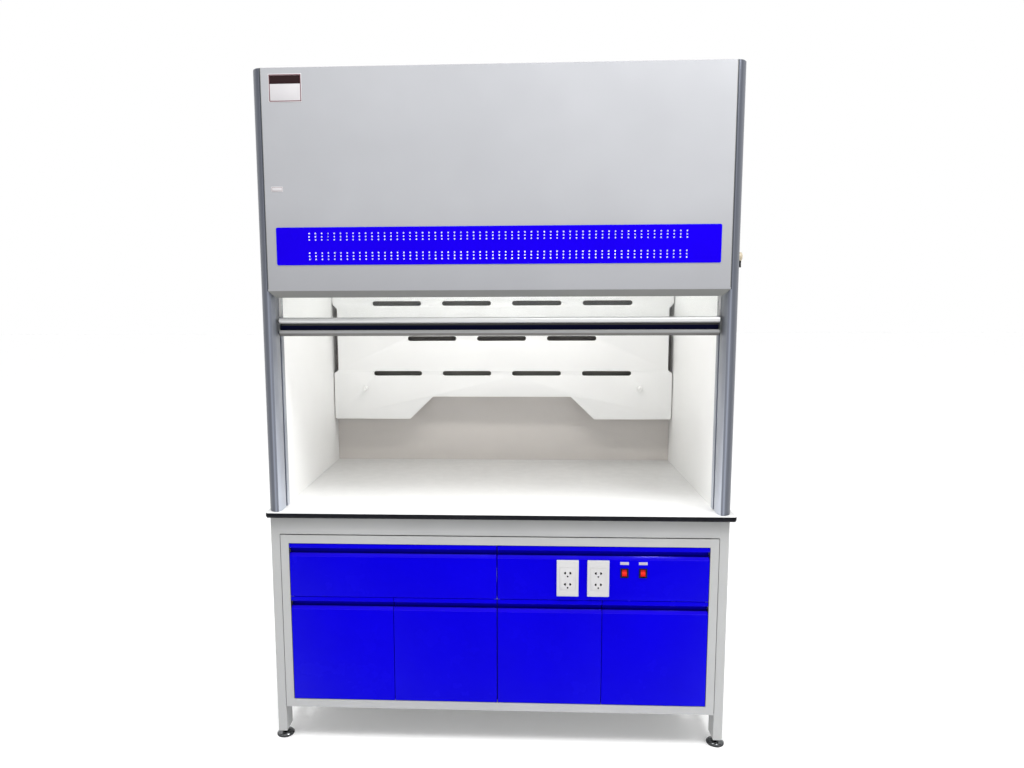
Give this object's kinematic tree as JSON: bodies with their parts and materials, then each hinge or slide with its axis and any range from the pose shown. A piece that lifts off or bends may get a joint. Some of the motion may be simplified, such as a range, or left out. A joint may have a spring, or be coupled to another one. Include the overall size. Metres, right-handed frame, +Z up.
{
  "type": "fume hood",
  "caption": "Walk-up bench fume hood with a counterweighted vertical sash, slotted baffle, exhaust spigot, blue cabinet with doors, drawer and service panel on a tube frame.",
  "frame": {"origin": "on the floor under the middle of the hood's width and depth", "axes": "+Z up, -Y towards the user at the sash, +X to the user's right"},
  "size_m": [1.552, 0.85, 2.3],
  "materials": {
    "frame_steel": "fine-texture light grey powder coat",
    "foot_rubber": "black glass-filled nylon",
    "plated_steel": "bright zinc plate",
    "blue_steel": "gloss ultramarine powder coat",
    "liner_white": "white compact laminate",
    "top_white": "white compact laminate with black core edge",
    "post_alloy": "satin blue-grey metallic",
    "handle_alloy": "satin anodised",
    "sash_glass": "clear tempered",
    "lamp_glass": "clear, slightly frosted",
    "lamp_light": "lit tube",
    "white_plastic": "white moulded",
    "cream_plastic": "cream moulded with black cable entry",
    "black_plastic": "black moulded",
    "red_plastic": "red moulded",
    "label_white": "blank plate",
    "galvanised": "galvanised sheet",
    "cable_steel": "wire rope",
    "shaft_steel": "ground shaft",
    "weight_steel": "grey painted steel bar"
  },
  "bodies": {
    "hood": {"leg_frames": "frame_steel", "cross_rails": "frame_steel", "foot_pads": "foot_rubber", "foot_stems": "plated_steel", "cabinet_sides": "frame_steel", "cabinet_top": "frame_steel", "cabinet_bottom": "frame_steel", "cabinet_back": "frame_steel", "cabinet_divider": "frame_steel", "cabinet_midrail": "frame_steel", "cupboard_shelves": "frame_steel", "door_pivot_pins": "plated_steel", "drawer_fixed_runners": "galvanised", "service_panel": "blue_steel", "service_back_box": "galvanised", "socket_plates": "white_plastic", "socket_modules": "white_plastic", "rocker_bezels": "black_plastic", "blank_labels": "label_white", "worktop": "top_white", "posts": "post_alloy", "side_panels": "frame_steel", "side_linings": "liner_white", "rear_lining": "liner_white", "rear_panel": "frame_steel", "baffle": "liner_white", "upper_baffle": "liner_white", "baffle_knobs": "white_plastic", "baffle_spacers": "white_plastic", "ceiling_lining": "liner_white", "roof_panel": "frame_steel", "exhaust_collar": "galvanised", "fascia_panel": "frame_steel", "bypass_grille": "blue_steel", "lamp_housing": "galvanised", "lamp_tubes": "lamp_light", "lamp_cover": "lamp_glass", "cable_turns": "cable_steel", "shaft_bearings": "weight_steel", "supply_outlet": "cream_plastic", "side_panel_screws": "plated_steel"},
    "sash": {"sash_glass": "sash_glass", "sash_handle": "handle_alloy", "sash_guides": "black_plastic", "sash_cables": "cable_steel"},
    "counterbalance_shaft": {"cross_shaft": "shaft_steel", "pulleys": "black_plastic"},
    "left_weight": {"left_counterweight": "weight_steel", "left_weight_cable": "cable_steel"},
    "right_weight": {"right_counterweight": "weight_steel", "right_weight_cable": "cable_steel"},
    "drawer": {"drawer_front": "blue_steel", "drawer_box": "frame_steel", "drawer_moving_runners": "galvanised"},
    "left_outer_door": {"left_outer_door": "blue_steel"},
    "left_inner_door": {"left_inner_door": "blue_steel"},
    "right_inner_door": {"right_inner_door": "blue_steel"},
    "right_outer_door": {"right_outer_door": "blue_steel"},
    "lamp_switch": {"lamp_rocker": "red_plastic"},
    "fan_switch": {"fan_rocker": "red_plastic"}
  },
  "joints": [
    {"name": "sash_slide", "type": "slide", "parent": "hood", "child": "sash", "axis": [0, 0, 1], "range_m": [-0.568, 0.055], "deforming": ["sash_cables"]},
    {"name": "shaft_turn", "type": "hinge", "parent": "hood", "child": "counterbalance_shaft", "pos_m": [0, -0.302, 2.145], "axis": [1, 0, 0], "range_deg": [-71.3, 724.5]},
    {"name": "left_weight_slide", "type": "slide", "parent": "hood", "child": "left_weight", "axis": [0, 0, 1], "range_m": [-0.0551, 0.5681], "deforming": ["left_weight_cable"]},
    {"name": "right_weight_slide", "type": "slide", "parent": "hood", "child": "right_weight", "axis": [0, 0, 1], "range_m": [-0.0551, 0.5681], "deforming": ["right_weight_cable"]},
    {"name": "drawer_slide", "type": "slide", "parent": "hood", "child": "drawer", "axis": [0, -1, 0], "range_m": [0, 0.4]},
    {"name": "left_outer_door_hinge", "type": "hinge", "parent": "hood", "child": "left_outer_door", "pos_m": [-0.686, -0.402, 0.147], "axis": [0, 0, -1], "range_deg": [0, 105]},
    {"name": "left_inner_door_hinge", "type": "hinge", "parent": "hood", "child": "left_inner_door", "pos_m": [-0.0045, -0.402, 0.147], "axis": [0, 0, 1], "range_deg": [0, 90]},
    {"name": "right_inner_door_hinge", "type": "hinge", "parent": "hood", "child": "right_inner_door", "pos_m": [0.0045, -0.402, 0.147], "axis": [0, 0, -1], "range_deg": [0, 90]},
    {"name": "right_outer_door_hinge", "type": "hinge", "parent": "hood", "child": "right_outer_door", "pos_m": [0.686, -0.402, 0.147], "axis": [0, 0, 1], "range_deg": [0, 105]},
    {"name": "lamp_switch_rock", "type": "hinge", "parent": "hood", "child": "lamp_switch", "pos_m": [0.4157, -0.398, 0.603], "axis": [1, 0, 0], "range_deg": [0, 16]},
    {"name": "fan_switch_rock", "type": "hinge", "parent": "hood", "child": "fan_switch", "pos_m": [0.476, -0.398, 0.603], "axis": [1, 0, 0], "range_deg": [0, 16]}
  ],
  "couplings": [
    {"joint": "shaft_turn", "follows": "sash_slide", "rad_per_m": -22.222},
    {"joint": "left_weight_slide", "follows": "sash_slide", "ratio": -1},
    {"joint": "right_weight_slide", "follows": "sash_slide", "ratio": -1}
  ]
}
